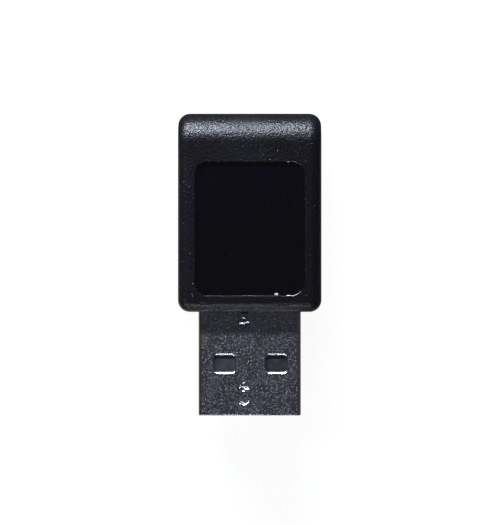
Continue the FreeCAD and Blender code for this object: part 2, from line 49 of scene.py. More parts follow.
# Shader nodes: a wire is one output socket, and sums on wires add Math nodes
class Wire:
    def __init__(self, shader, socket):
        self.shader = shader
        self.socket = socket

    def work(self, operation, *values):
        return self.shader.add("ShaderNodeMath", {"operation": operation}, dict(enumerate(values)))

    def __add__(self, other):
        return self.work("ADD", self, other)

    def __sub__(self, other):
        return self.work("SUBTRACT", self, other)

    def __mul__(self, other):
        return self.work("MULTIPLY", self, other)

    def __truediv__(self, other):
        return self.work("DIVIDE", self, other)

    def __pow__(self, other):
        return self.work("POWER", self, other)

    def __radd__(self, other):
        return self.work("ADD", other, self)

    def __rsub__(self, other):
        return self.work("SUBTRACT", other, self)

    def __rmul__(self, other):
        return self.work("MULTIPLY", other, self)

    def __abs__(self):
        return self.work("ABSOLUTE", self)

    def above(self, limit):
        return self.work("GREATER_THAN", self, limit)

    def below(self, limit):
        return self.work("LESS_THAN", self, limit)

    def highest(self, other):
        return self.work("MAXIMUM", self, other)

    def lowest(self, other):
        return self.work("MINIMUM", self, other)

    def ramp(self, low, high):
        settings = {"interpolation_type": "SMOOTHSTEP"}
        values = {"Value": self, "From Min": low, "From Max": high}
        return self.shader.add("ShaderNodeMapRange", settings, values)


# A node tree with one way to add a node: its type, its settings, then its sockets
class NodeTree:
    def __init__(self, tree):
        self.tree = tree
        tree.nodes.clear()

    def put(self, kind, settings=None, values=None):
        node = self.tree.nodes.new(kind)
        for name, value in (settings or {}).items():
            setattr(node, name, value)
        for name, value in (values or {}).items():
            if isinstance(value, Wire):
                self.tree.links.new(value.socket, node.inputs[name])
            else:
                node.inputs[name].default_value = value
        return node

    def add(self, kind, settings=None, values=None, output=0):
        return Wire(self, self.put(kind, settings, values).outputs[output])

    def axes(self, vector, names="XYZ"):
        parts = self.put("ShaderNodeSeparateXYZ", None, {0: vector})
        return [Wire(self, parts.outputs[axis]) for axis in names]


class Shader(NodeTree):
    def spot(self):  # place on the piece, in millimetres
        place = self.add("ShaderNodeTexCoord", output="Object")
        settings = {"operation": "SCALE"}
        return self.add("ShaderNodeVectorMath", settings, {0: place, "Scale": 1 / mm})

    def stretched(self, vector, scale):
        return self.add("ShaderNodeVectorMath", {"operation": "MULTIPLY"}, {0: vector, 1: scale})

    def noise(self, vector, size, detail=2.0, roughness=0.5):
        values = {"Vector": vector, "Scale": 1 / size, "Detail": detail, "Roughness": roughness}
        return self.add("ShaderNodeTexNoise", None, values, "Fac")

    def cells(self, vector, size, feature="F1", output="Distance", spread=1.0):
        values = {"Vector": vector, "Scale": 1 / size, "Randomness": spread}
        return self.add("ShaderNodeTexVoronoi", {"feature": feature}, values, output)

    def blend(self, amount, first, second):  # a colour between two colours
        values = {"Factor": amount, 6: first, 7: second}
        return self.add("ShaderNodeMix", {"data_type": "RGBA"}, values, 2)

    def bump(self, height, depth, normal=None):
        values = {"Height": height, "Distance": depth * mm, "Strength": 1.0}
        if normal:
            values["Normal"] = normal
        return self.add("ShaderNodeBump", None, values)

    def finish(self, values):
        surface = self.add("ShaderNodeBsdfPrincipled", None, values)
        self.put("ShaderNodeOutputMaterial", None, {"Surface": surface})


def newMaterial(name):
    material = bpy.data.materials.new(name)
    material.use_nodes = True
    return material, Shader(material.node_tree)


def colour(red, green, blue):
    return (red, green, blue, 1.0)


# Casing: spark-eroded black plastic, with a polished field in its recess
casing = {
    "plasticColour": colour(0.0046, 0.0042, 0.0062),
    "wornColour": colour(0.016, 0.015, 0.021),
    "roughness": 0.34,
    "grainStretch": (1.1, 0.8, 1.0),
    "grainSize": 0.26,
    "grainDepth": 0.052,
    "craterSize": 0.17,
    "craterDepth": 0.030,
    "fleckSize": 0.42,
    "fleckReach": 0.25,
    "fleckDepth": 0.05,
    "dustColour": colour(0.16, 0.15, 0.17),
    "dustReach": 0.075,
    "ior": 1.5,
    "fieldColour": colour(0.0014, 0.0012, 0.0019),
    # blue of the smudges, and of a painted reflection at the field's far end
    "smudgeAndReflectionBlue": colour(0.0019, 0.0018, 0.0050),
    "fieldRoughness": 0.07,
    "fieldIor": 2.1,
    "specksColour": colour(0.10, 0.10, 0.12),
    # a near-white oval at the field's near edge: a painted glint
    "glintAt": (3.13, -3.47),
    "glintHalfLength": 0.25,
    "glintHalfWidth": 0.135,
    "glintColour": colour(0.90, 0.90, 0.92),
    "fieldDepth": 0.35,
    "fieldHalfWidth": 6.425,
    "fieldNearY": -3.675,
    "fieldFarY": 12.025,
    "edgeRoll": 0.035,
    "edgeSteps": 2,
    "fieldFloorRoll": 0.10,
    "fieldRollSteps": 3,
    "fullRollFromX": 5.0,
    "straightShare": 0.06,
    "levelSpare": 0.01,
    "wallSpare": 0.02,
    "polishBelowFloor": 0.05,
    "polishBelowTop": 0.03,
}


def texturedPlastic():
    material, shader = newMaterial("texturedPlastic")
    spot = shader.spot()
    grain = shader.noise(shader.stretched(spot, casing["grainStretch"]), casing["grainSize"], 1.0, 0.6)
    craters = shader.cells(spot, casing["craterSize"])
    flecks = shader.cells(spot, casing["fleckSize"]).ramp(0.0, casing["fleckReach"])
    flecks = 1 - (1 - flecks) * shader.noise(spot, 0.9).ramp(0.50, 0.60)
    normal = shader.bump(grain, casing["grainDepth"])
    normal = shader.bump(craters, casing["craterDepth"], normal)
    normal = shader.bump(flecks, casing["fleckDepth"], normal)
    patches = shader.noise(spot, 5.0, 3.0).ramp(0.35, 0.75)
    rubbed = shader.noise(spot, 0.35, 4.0, 0.7).ramp(0.62, 0.80)
    dust = shader.cells(spot, 0.6).below(casing["dustReach"]) * shader.noise(spot, 2.4).ramp(0.42, 0.62)
    tint = shader.blend(rubbed * 0.35 + patches * 0.15, casing["plasticColour"], casing["wornColour"])
    tint = shader.blend(dust, tint, casing["dustColour"])
    roughness = casing["roughness"] + patches * 0.05 + dust * 0.3
    shader.finish({
        "Base Color": tint,
        "Roughness": roughness,
        "Normal": normal,
        "IOR": casing["ior"],
    })
    return material


def polishedPlastic():
    material, shader = newMaterial("polishedPlastic")
    spot = shader.spot()
    x, y = shader.axes(spot, "XY")
    # the far part of the field is painted bluish as a painted reflection; the real smudges below share this
    # blue
    paintedReflectionShare = y.ramp(4.0, 12.0)
    smudge = shader.noise(shader.stretched(spot, (0.5, 2.6, 1.0)), 1.6, 2.0).ramp(0.66, 0.80)
    hairs = shader.noise(shader.stretched(spot, (6.0, 0.35, 1.0)), 0.8, 2.0).ramp(0.70, 0.76)
    specks = shader.cells(spot, 0.8).below(0.035)
    # a painted glint: a near-white oval on the field's near edge
    glintX, glintY = casing["glintAt"]
    glintAlong = (x - glintX) / casing["glintHalfLength"]
    glintAcross = (y - glintY) / casing["glintHalfWidth"]
    paintedGlint = 1 - (glintAlong ** 2 + glintAcross ** 2).ramp(0.7, 1.1)
    tint = shader.blend(paintedReflectionShare * 0.6 + smudge * 0.6, casing["fieldColour"], casing["smudgeAndReflectionBlue"])
    tint = shader.blend(specks * 0.5, tint, casing["specksColour"])
    tint = shader.blend(paintedGlint, tint, casing["glintColour"])
    shader.finish({
        "Base Color": tint,
        "Roughness": casing["fieldRoughness"] + smudge * 0.10 + hairs * 0.05 + paintedGlint * 0.4,
        "Normal": shader.bump(shader.noise(spot, 2.5), 0.004),
        "IOR": casing["fieldIor"],
    })
    return material


# Plug: folded nickel-plated steel, with glints where the plating is pitted
plug = {
    "steelColour": colour(0.60, 0.605, 0.635),
    "dullColour": colour(0.43, 0.42, 0.45),
    # painted light on the bends: a pale yellow painted reflection on the left, dark violet painted shade on
    # the right
    "leftBendReflectionColour": colour(0.86, 0.76, 0.44),
    "rightBendShadeColour": colour(0.55, 0.40, 0.47),
    "bendFrom": 5.45,
    "bendReach": 0.5,
    "bendTopFrom": 5.4,
    "bendTopFull": 5.9,
    "roughness": 0.25,
    "middleHeight": 4.0,
    "halfHeight": 2.25,
    "faceMargin": 0.03,
    "peelStretch": (1.1, 0.8, 1.0),
    "peelSize": 0.22,
    "peelDepth": 0.034,
    "sparkSize": 0.17,
    "sparkRoughness": 0.235,
    "craterSize": 0.30,
    "craterDepth": 0.012,
    "pitSize": 0.30,
    "pitRadius": 0.26,
    "pitDepth": 0.026,
}


def platedSteel():
    material, shader = newMaterial("platedSteel")
    spot = shader.spot()
    x, z = shader.axes(spot, "XZ")
    fromMiddle = abs(z - plug["middleHeight"])
    onFace = fromMiddle.ramp(plug["halfHeight"] - plug["faceMargin"], plug["halfHeight"] - 0.005)
    pits = 1 - shader.cells(spot, plug["pitSize"]).ramp(0.0, plug["pitRadius"])
    pits = pits * shader.noise(spot, 0.5).ramp(0.44, 0.58)
    scratches = shader.noise(shader.stretched(spot, (9.0, 0.30, 9.0)), 0.7, 2.0).ramp(0.66, 0.74)
    peel = shader.noise(shader.stretched(spot, plug["peelStretch"]), plug["peelSize"], 0.0)
    craters = shader.cells(spot, plug["craterSize"])
    normal = shader.bump(peel * (onFace * 0.9 + 0.1), plug["peelDepth"])
    normal = shader.bump(craters * onFace, plug["craterDepth"], normal)
    normal = shader.bump(scratches, 0.004, normal)
    normal = shader.bump(pits * onFace, plug["pitDepth"], normal)
    clouds = shader.noise(spot, 1.4, 3.0).ramp(0.35, 0.70)
    sparks = shader.noise(spot, plug["sparkSize"], 0.0).ramp(0.53, 0.73) * onFace
    tint = shader.blend(clouds * 0.4, plug["steelColour"], plug["dullColour"])
    # painted light on the bends: pale yellow painted reflection on the left side, dark violet painted shade
    # on the right
    paintedBendLight = shader.blend(x.above(0.0), plug["leftBendReflectionColour"], plug["rightBendShadeColour"])
    onBend = abs(x).ramp(plug["bendFrom"], plug["bendFrom"] + plug["bendReach"])
    onBend = onBend * z.ramp(plug["bendTopFrom"], plug["bendTopFull"])
    tint = shader.blend(onBend * 0.8, tint, paintedBendLight)
    shader.finish({
        "Base Color": tint,
        "Metallic": 1.0,
        "Roughness": plug["roughness"] + clouds * 0.05 - scratches * 0.06 + sparks * plug["sparkRoughness"],
        "Normal": normal,
    })
    return material


insulator = {
    # the left half is painted paler than the right: painted light
    "paintedLightColour": colour(0.050, 0.047, 0.057),
    "rightColour": colour(0.022, 0.021, 0.024),
    "paintedLightUpTo": 1.5,
    "roughness": 0.42,
}


def insulatorPlastic():
    material, shader = newMaterial("insulatorPlastic")
    spot = shader.spot()
    mottle = shader.noise(spot, 0.8, 3.0).ramp(0.3, 0.7)
    # the left half is painted paler as painted light, mixed with the plastic's own mottle
    paintedLightSide = 1 - shader.axes(spot, "X")[0].ramp(-insulator["paintedLightUpTo"], insulator["paintedLightUpTo"])
    shade = mottle * 0.4 + paintedLightSide * 0.6
    shader.finish({
        "Base Color": shader.blend(shade, insulator["rightColour"], insulator["paintedLightColour"]),
        "Roughness": insulator["roughness"] + mottle * 0.10,
        "Normal": shader.bump(shader.noise(spot, 0.10, 3.0), 0.004),
    })
    return material


def goldPlate():
    material, shader = newMaterial("goldPlate")
    spot = shader.spot()
    rubbed = shader.noise(shader.stretched(spot, (8.0, 0.4, 8.0)), 0.6, 2.0).ramp(0.55, 0.70)
    shader.finish({
        "Base Color": shader.blend(rubbed * 0.5, colour(0.83, 0.58, 0.24), colour(0.74, 0.62, 0.42)),
        "Metallic": 1.0,
        "Roughness": 0.22 + rubbed * 0.12,
        "Normal": shader.bump(rubbed, 0.002),
    })
    return material


# Inside the casing: board, packages, chip parts, spring and solder
board = {
    "maskColour": colour(0.010, 0.085, 0.030),
    "traceColour": colour(0.030, 0.150, 0.055),
    "edgeColour": colour(0.42, 0.34, 0.16),
    "tracePitch": 0.9,
    "traceWidth": 0.22,
    "viaColour": colour(0.62, 0.60, 0.55),
    "viaSpacing": 2.0,
    "weaveTurn": 16.0,
    "edgeInset": 0.04,
}


def boardLaminate():
    material, shader = newMaterial("boardLaminate")
    spot = shader.spot()
    x, y, z = shader.axes(spot)
    low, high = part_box("circuit_board")
    wander = shader.noise(spot, 2.2, 0.0) * 2.0
    across = (x + wander) / board["tracePitch"]
    lane = abs(across.work("FRACT", across) - 0.5)
    trace = 1 - lane.ramp(board["traceWidth"] / 2, board["traceWidth"])
    vias = 1 - shader.cells(spot, board["viaSpacing"]).ramp(0.10, 0.13)
    warp, weft = (axis.work("SINE", axis * board["weaveTurn"]) for axis in (x, y))
    onEdge = z.above(low.z / mm + board["edgeInset"]) * z.below(high.z / mm - board["edgeInset"])
    tint = shader.blend(trace * 0.7, board["maskColour"], board["traceColour"])
    tint = shader.blend(vias, tint, board["viaColour"])
    tint = shader.blend(onEdge, tint, board["edgeColour"])
    normal = shader.bump(trace + vias * 0.5, 0.03)
    shader.finish({
        "Base Color": tint,
        "Roughness": 0.30 + onEdge * 0.45,
        "Normal": shader.bump(warp * weft, 0.002, normal),
    })
    return material


def tinned(shader, spot):  # bright colour with dull clouds, for leads, end caps and solder
    clouds = shader.noise(spot, 0.3, 3.0).ramp(0.3, 0.7)
    return shader.blend(clouds, colour(0.72, 0.72, 0.71), colour(0.52, 0.52, 0.53))


def leadedChip(name, node, axis, leadReach):
    # black body, with everything nearer than leadReach to the two lead sides tinned
    material, shader = newMaterial(name)
    spot = shader.spot()
    low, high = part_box(node)
    centre = (low + high)[axis] / 2 / mm
    half = (high - low)[axis] / 2 / mm - leadReach
    lead = abs(shader.axes(spot)[axis] - centre).above(half)
    grain = shader.noise(spot, 0.10, 3.0, 0.7)
    black, grey = colour(0.016, 0.016, 0.017), colour(0.030, 0.030, 0.032)
    plastic = shader.blend(grain.ramp(0.3, 0.7), black, grey)
    shader.finish({
        "Base Color": shader.blend(lead, plastic, tinned(shader, spot)),
        "Metallic": lead,
        "Roughness": 0.55 - lead * 0.25,
        "Normal": shader.bump(grain, 0.008),
    })
    return material


def chipPart(name, axis, centre, bodyHalf, tints):
    # ceramic body between two tinned end caps, for parts that lie at plus or minus centre
    material, shader = newMaterial(name)
    spot = shader.spot()
    place = shader.axes(spot)[axis]
    if centre > 0:
        place = abs(place)
    cap = abs(place - centre).above(bodyHalf)
    grain = shader.noise(spot, 0.12, 3.0)
    body = shader.blend(grain.ramp(0.3, 0.7), *tints)
    shader.finish({
        "Base Color": shader.blend(cap, body, tinned(shader, spot)),
        "Metallic": cap,
        "Roughness": 0.38 - cap * 0.08,
        "Normal": shader.bump(grain, 0.004),
    })
    return material


def metalFinish(name, light, dark, roughness, grainSize, depth):
    material, shader = newMaterial(name)
    spot = shader.spot()
    grain = shader.noise(spot, grainSize, 3.0, 0.6)
    shader.finish({
        "Base Color": shader.blend(grain.ramp(0.3, 0.7), light, dark),
        "Metallic": 1.0,
        "Roughness": roughness + grain * 0.12,
        "Normal": shader.bump(grain, depth),
    })
    return material


def lidOnCeramic(name, node, baseHeight):
    material, shader = newMaterial(name)
    spot = shader.spot()
    low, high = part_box(node)
    lid = shader.axes(spot)[2].above(low.z / mm + baseHeight)
    brushed = shader.noise(shader.stretched(spot, (1.0, 12.0, 1.0)), 0.8, 2.0)
    metal = shader.blend(brushed.ramp(0.3, 0.7), colour(0.70, 0.68, 0.62), colour(0.55, 0.54, 0.50))
    shader.finish({
        "Base Color": shader.blend(lid, colour(0.50, 0.44, 0.34), metal),
        "Metallic": lid,
        "Roughness": 0.55 - lid * 0.25,
        "Normal": shader.bump(brushed, 0.003),
    })
    return material


plasticTextured = texturedPlastic()
plasticPolished = polishedPlastic()
steel = platedSteel()
gold = goldPlate()
springWire = metalFinish("springWire", colour(0.78, 0.62, 0.36), colour(0.66, 0.50, 0.26), 0.20, 0.15, 0.003)

# a negative reach leaves a chip without leads
leadedChips = {
    "radio_chip": {"name": "chipBody", "axis": 2, "leadReach": -1.0},
    "memory_chip": {"name": "memoryBody", "axis": 0, "leadReach": 0.6},
    "voltage_regulator": {"name": "regulatorBody", "axis": 0, "leadReach": 0.6},
    "surge_protector": {"name": "protectorBody", "axis": 1, "leadReach": 0.6},
}
lids = {
    "crystal_can": {"name": "crystalLid", "baseHeight": 0.35},
    "saw_filter": {"name": "filterLid", "baseHeight": 0.5},
}
coilLow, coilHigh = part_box("matching_coils")
coilMiddle = (coilLow + coilHigh).y / 2 / mm
tan = (colour(0.36, 0.25, 0.15), colour(0.28, 0.19, 0.11))
black = (colour(0.02, 0.02, 0.022), colour(0.04, 0.04, 0.045))
grey = (colour(0.09, 0.09, 0.095), colour(0.05, 0.05, 0.055))
paleGreen = (colour(0.30, 0.32, 0.30), colour(0.2, 0.22, 0.2))
inRow = {"axis": 0, "centre": 4.6}
chipParts = {
    "capacitors": {"name": "capacitorBody", "bodyHalf": 0.448, "tints": tan, **inRow},
    "bulk_capacitor": {"name": "bulkCapacitorBody", "axis": 0, "centre": 5.2, "bodyHalf": 0.56, "tints": tan},
    "resistors": {"name": "resistorBody", "bodyHalf": 0.448, "tints": black, **inRow},
    "ferrite_bead": {"name": "beadBody", "bodyHalf": 0.56, "tints": grey, **inRow},
    "matching_coils": {"name": "coilBody", "axis": 1, "centre": coilMiddle, "bodyHalf": 0.28,
                       "tints": paleGreen},
}
contacts = ("contact_power", "contact_data_minus", "contact_data_plus", "contact_ground")
finishes = {node: gold for node in contacts}
finishes["plug_insulator"] = insulatorPlastic()
finishes["circuit_board"] = boardLaminate()
finishes["solder_joints"] = metalFinish("solderTin", colour(0.74, 0.74, 0.72), colour(0.60, 0.60, 0.60),
                                        0.22, 0.25, 0.010)
finishes.update({node: leadedChip(node=node, **chip) for node, chip in leadedChips.items()})
finishes.update({node: lidOnCeramic(node=node, **lid) for node, lid in lids.items()})
finishes.update({node: chipPart(**part) for node, part in chipParts.items()})
for node, material in finishes.items():
    nodes[node].data.materials.clear()
    nodes[node].data.materials.append(material)
print("materials made")


def newPiece(name, mesh):
    piece = bpy.data.objects.new(name, mesh)
    bpy.context.scene.collection.objects.link(piece)
    return piece


def plainResult(piece):
    bpy.context.view_layer.update()
    shaped = piece.evaluated_get(bpy.context.evaluated_depsgraph_get())
    mesh = bpy.data.meshes.new_from_object(shaped)
    piece.modifiers.clear()
    piece.data = mesh
    return piece


# A Geometry Nodes tree with named inputs, whose result is kept as a plain mesh
class ShapeTree(NodeTree):
    def __init__(self, name, inputs):
        super().__init__(bpy.data.node_groups.new(name, "GeometryNodeTree"))
        self.identifiers = {}
        panel = self.tree.interface
        panel.new_socket("Geometry", in_out="OUTPUT", socket_type="NodeSocketGeometry")
        panel.new_socket("Geometry", in_out="INPUT", socket_type="NodeSocketGeometry")
        for key, kind in inputs.items():
            self.identifiers[key] = panel.new_socket(key, in_out="INPUT", socket_type=kind).identifier
        self.source = self.put("NodeGroupInput")

    def value(self, key):
        return Wire(self, self.source.outputs[key])

    def finish(self, geometry):
        self.put("NodeGroupOutput", None, {0: geometry})

    def make(self, name, values, mesh=None):
        piece = newPiece(name, mesh or bpy.data.meshes.new(name))
        modifier = piece.modifiers.new(name, "NODES")
        modifier.node_group = self.tree
        for key, value in values.items():
            modifier[self.identifiers[key]] = value
        return plainResult(piece)


# Copies of CAD nodes with merged corners, rolled edges and even shading
shading = {
    "hardAngle": math.radians(28),
    "flatAngle": math.radians(0.4),
    "mergeReach": 0.0005,
    "faceWeight": 80,
}


def evenNormals(piece):
    even = piece.modifiers.new("evenNormals", "WEIGHTED_NORMAL")
    even.keep_sharp = True
    even.weight = shading["faceWeight"]
    return plainResult(piece)


def evenShading(piece):
    shape = bmesh.new()
    shape.from_mesh(piece.data)
    for edge in shape.edges:
        edge.smooth = len(edge.link_faces) == 2 and edge.calc_face_angle() < shading["hardAngle"]
    for face in shape.faces:
        face.smooth = True
    shape.to_mesh(piece.data)
    shape.free()
    return evenNormals(piece)


def rolledCopy(node, name, rollWidth, steps, weightAt):
    shape = bmesh.new()
    shape.from_mesh(nodes[node].data)
    bmesh.ops.remove_doubles(shape, verts=shape.verts, dist=shading["mergeReach"] * mm)
    bmesh.ops.dissolve_limit(shape, angle_limit=shading["flatAngle"], verts=shape.verts, edges=shape.edges)
    weights = shape.edges.layers.float.new("bevel_weight_edge")
    for edge in shape.edges:
        if len(edge.link_faces) != 2:
            continue
        hard = edge.calc_face_angle() > shading["hardAngle"]
        edge.smooth = not hard
        if hard:
            edge[weights] = weightAt((edge.verts[0].co + edge.verts[1].co) / 2 / mm)
    for face in shape.faces:
        face.smooth = True
    mesh = bpy.data.meshes.new(name)
    shape.to_mesh(mesh)
    shape.free()
    for spare in ("custom_normal", "sharp_face"):
        if spare in mesh.attributes:
            mesh.attributes.remove(mesh.attributes[spare])
    piece = newPiece(name, mesh)
    roll = piece.modifiers.new("rolledEdges", "BEVEL")
    roll.limit_method = "WEIGHT"
    roll.width = rollWidth * mm
    roll.segments = steps
    roll.use_clamp_overlap = False
    roll.miter_outer = "MITER_SHARP"
    return evenNormals(piece)


def standFor(piece, node, slot, *materials):
    piece.data.materials.clear()
    for material in materials:
        piece.data.materials.append(material)
    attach(piece, "root")
    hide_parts(node)


casingHigh = Vector(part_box("upper_casing")[1]) / mm
shellLow, shellHigh = (Vector(corner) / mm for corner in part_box("plug_shell"))
fieldFloorZ = casingHigh.z - casing["fieldDepth"]


def inField(point, spare):
    return (abs(point.x) < casing["fieldHalfWidth"] + spare
            and casing["fieldNearY"] - spare < point.y < casing["fieldFarY"] + spare)


def upperCasingWeight(point):
    # the roll at the field's floor is full on the right and thin elsewhere
    if point.z > fieldFloorZ - casing["levelSpare"] and inField(point, casing["wallSpare"]):
        if point.z < fieldFloorZ + casing["levelSpare"]:
            return 1.0 if point.x > casing["fullRollFromX"] else casing["straightShare"]
        return casing["edgeRoll"] / casing["fieldFloorRoll"]
    return 0.0


upperCasing = rolledCopy("upper_casing", "rolled_upper_casing", casing["fieldFloorRoll"],
                         casing["fieldRollSteps"], upperCasingWeight)
standFor(upperCasing, "upper_casing", "casing_plastic", plasticTextured, plasticPolished)
polishFrom = fieldFloorZ - casing["polishBelowFloor"]
polishUpTo = casingHigh.z - casing["polishBelowTop"]
for face in upperCasing.data.polygons:
    centre = face.center / mm
    if polishFrom < centre.z < polishUpTo and inField(centre, 0.0):
        face.material_index = 1

lowerCasing = rolledCopy("lower_casing", "rolled_lower_casing", casing["edgeRoll"],
                         casing["edgeSteps"], lambda point: 0.0)
standFor(lowerCasing, "lower_casing", "casing_plastic", plasticTextured)


# Plug shell: a folded sheet tube, cut by windows, a seam with two dovetails and two punches
sheetShape = {
    "sheet": 0.3,
    "bend": 0.5,
    "bendSteps": 8,
    "tipRoll": 0.12,
    "tipSteps": 3,
    "legLength": 2.6,
    "legHeight": 1.9,
    "legInset": 0.01,
    "legCorner": 0.3,
    "legSteps": 4,
    "windowWidth": 2.5,
    "windowLength": 1.96,
    "windowOffset": 3.05,
    "windowMiddle": 0.07,
    "windowFromTip": 6.08,
    "windowCorner": 0.40,
    "windowSteps": 8,
    "windowRoll": 0.23,
    "windowSideRoll": 0.15,
    "rollSteps": 7,
    "rollStart": 17.0,
    "rollEnd": 46.0,
    "punchX": -0.77,
    "punchYs": (-7.34, -14.60),
    "dents": ((0.0, 0.33, 0.105), (0.88, 0.24, 0.075)),
    "ballSides": 40,
    "ballRings": 36,
    "cutAbove": 0.2,
    "cutBelow": 2.5,
}

seam = {
    "gap": 0.026,
    "cutDepth": 0.5,
    "endReach": 0.5,
    "sharpestTurn": 0.45,
    "betweenTabs": -10.0,
    "tabMiddles": (-15.335, -6.215),
    "tabLength": 1.3,
    "neck": 1.5,
    "flare": 1.9,
    "straightRoll": 0.02,
    "tabRolls": (0.20, 0.32),
    "tabSideRoll": 0.10,
    "crossSteps": 12,
    "wave": 0.05,
    "sag": 0.12,
}


def roundedOutline(halfWidth, halfHeight, radiusX, radiusY, steps):
    # corner by corner, counter-clockwise from the right
    outline = []
    for corner, (signX, signY) in enumerate(((1, 1), (-1, 1), (-1, -1), (1, -1))):
        for step in range(steps + 1):
            angle = math.pi / 2 * (corner + step / steps)
            outline.append((signX * (halfWidth - radiusX) + radiusX * math.cos(angle),
                            signY * (halfHeight - radiusY) + radiusY * math.sin(angle)))
    return outline


def ringMesh(name, rings, closed=False):
    # skins rings of equal length, and caps both ends unless the last ring joins the first
    shape = bmesh.new()
    loops = [[shape.verts.new(Vector(point) * mm) for point in ring] for ring in rings]
    count = len(loops[0])
    pairs = list(zip(loops, loops[1:])) + ([(loops[-1], loops[0])] if closed else [])
    for first, second in pairs:
        for index in range(count):
            after = (index + 1) % count
            shape.faces.new((first[index], first[after], second[after], second[index]))
    if not closed:
        shape.faces.new(list(reversed(loops[0])))
        shape.faces.new(loops[-1])
    bmesh.ops.recalc_face_normals(shape, faces=shape.faces)
    mesh = bpy.data.meshes.new(name)
    shape.to_mesh(mesh)
    shape.free()
    return mesh


def rolledEdge():
    # places on a pressed edge, as shares of its width: how far out, and how deep
    start, end, steps = (sheetShape[key] for key in ("rollStart", "rollEnd", "rollSteps"))
    places, depth = [(1.0, 0.0)], 0.0
    for step in range(steps):
        angle = start + (end - start) * (step + 0.5) / steps
        depth += math.tan(math.radians(angle)) / steps
        places.append((1 - (step + 1) / steps, depth))
    return places


def sheetTube(tipY, rearY, middleZ, halfWidth, halfHeight):
    sheet, bend, roll = sheetShape["sheet"], sheetShape["bend"], sheetShape["tipRoll"]
    stations = []
    for step in range(sheetShape["tipSteps"] + 1):
        angle = math.pi / 2 * step / sheetShape["tipSteps"]
        stations.append((tipY + roll * (1 - math.sin(angle)), roll * (1 - math.cos(angle))))
    stations.reverse()
    stations += [(rearY, 0.0), (rearY, sheet), (tipY, sheet)]
    rings = []
    for y, inset in stations:
        outline = roundedOutline(halfWidth - inset, halfHeight - inset, bend - inset, bend - inset,
                                 sheetShape["bendSteps"])
        rings.append([(x, y, middleZ + z) for x, z in outline])
    return ringMesh("sheetTube", rings, closed=True)


def solderLeg(side, rearY, middleZ, halfWidth):
    inset = sheetShape["legInset"]
    outer = side * (halfWidth - inset)
    inner = side * (halfWidth - sheetShape["sheet"] + inset)
    half = sheetShape["legHeight"] / 2
    corner, steps = sheetShape["legCorner"], sheetShape["legSteps"]
    outline = roundedOutline(sheetShape["legLength"] / 2 + inset, half, corner, corner, steps)
    middleY = rearY + sheetShape["legLength"] / 2 - inset
    rings = [[(x, middleY + y, middleZ + z) for y, z in outline] for x in (inner, outer)]
    return ringMesh("solderLeg", rings)


def windowCutter():
    # stands on its face at z = 0, and is widest there
    corner = sheetShape["windowCorner"]
    halfX, halfY = sheetShape["windowWidth"] / 2, sheetShape["windowLength"] / 2
    levels = [(share, -depth * sheetShape["windowRoll"]) for share, depth in rolledEdge()]
    rings = []
    above = [(1.0, sheetShape["cutAbove"])]
    below = [(0.0, -sheetShape["cutBelow"] * sheetShape["sheet"])]
    for share, z in above + levels + below:
        growX = sheetShape["windowSideRoll"] * share
        growY = sheetShape["windowRoll"] * share
        outline = roundedOutline(halfX + growX, halfY + growY, corner + growX, corner + growY,
                                 sheetShape["windowSteps"])
        rings.append([(x, y, z) for x, y in outline])
    return ringMesh("windowCutter", rings)


def punchCutter():
    # two balls: each dent has its place along the plug, its radius and its depth
    shape = bmesh.new()
    sides, rings = sheetShape["ballSides"], sheetShape["ballRings"]
    for along, radius, depth in sheetShape["dents"]:
        ball = (radius ** 2 + depth ** 2) / (2 * depth)
        place = Matrix.Translation(Vector((0.0, along, ball - depth)) * mm)
        bmesh.ops.create_uvsphere(shape, u_segments=sides, v_segments=rings, radius=ball * mm, matrix=place)
    mesh = bpy.data.meshes.new("punchCutter")
    shape.to_mesh(mesh)
    shape.free()
    return mesh


def seamPath(tipY, rearY):
    # places along the slit with the width of its rolled edges there
    straight = seam["straightRoll"]
    path = [(0.0, tipY - seam["endReach"], straight)]
    for middle, tabRoll in zip(seam["tabMiddles"], seam["tabRolls"]):
        outerSide = 1 if middle > seam["betweenTabs"] else -1
        for side in (-1, 1):
            edge = []
            for step in range(seam["crossSteps"] + 1):
                share = step / seam["crossSteps"]
                x = -seam["tabLength"] * share
                y = side * (seam["neck"] * (1 - share) + seam["flare"] * share) / 2
                wave = seam["wave"] * math.sin(3 * math.pi * share)
                if side == outerSide:
                    wave -= seam["sag"] * math.sin(math.pi * share) ** 2
                swell = math.sin(math.pi * share) ** 0.25
                roll = seam["tabSideRoll"] + (tabRoll - seam["tabSideRoll"]) * swell
                edge.append((x, middle + y + wave, roll if 0 < step < seam["crossSteps"] else straight))
            path += edge if side < 0 else edge[::-1]
    path.append((0.0, rearY + seam["endReach"], straight))
    return path


def seamCutter(tipY, rearY, faceZ):
    path = seamPath(tipY, rearY)
    half = seam["gap"] / 2
    rings = []
    for index, (x, y, roll) in enumerate(path):
        here = Vector((x, y))
        before = Vector(path[max(index - 1, 0)][:2])
        after = Vector(path[min(index + 1, len(path) - 1)][:2])
        into = (here - before).normalized() if index > 0 else (after - here).normalized()
        out = (after - here).normalized() if index < len(path) - 1 else into
        along = (into + out).normalized()
        across = Vector((along.y, -along.x)) / max(seam["sharpestTurn"], along.dot(into))
        right = [(half + roll * share, -roll * depth) for share, depth in rolledEdge()]
        right = [(right[0][0], sheetShape["cutAbove"])] + right + [(half, -seam["cutDepth"])]
        profile = right + [(-reach, z) for reach, z in reversed(right)]
        rings.append([(x + across.x * reach, y + across.y * reach, faceZ + z) for reach, z in profile])
    return ringMesh("seamCutter", rings)


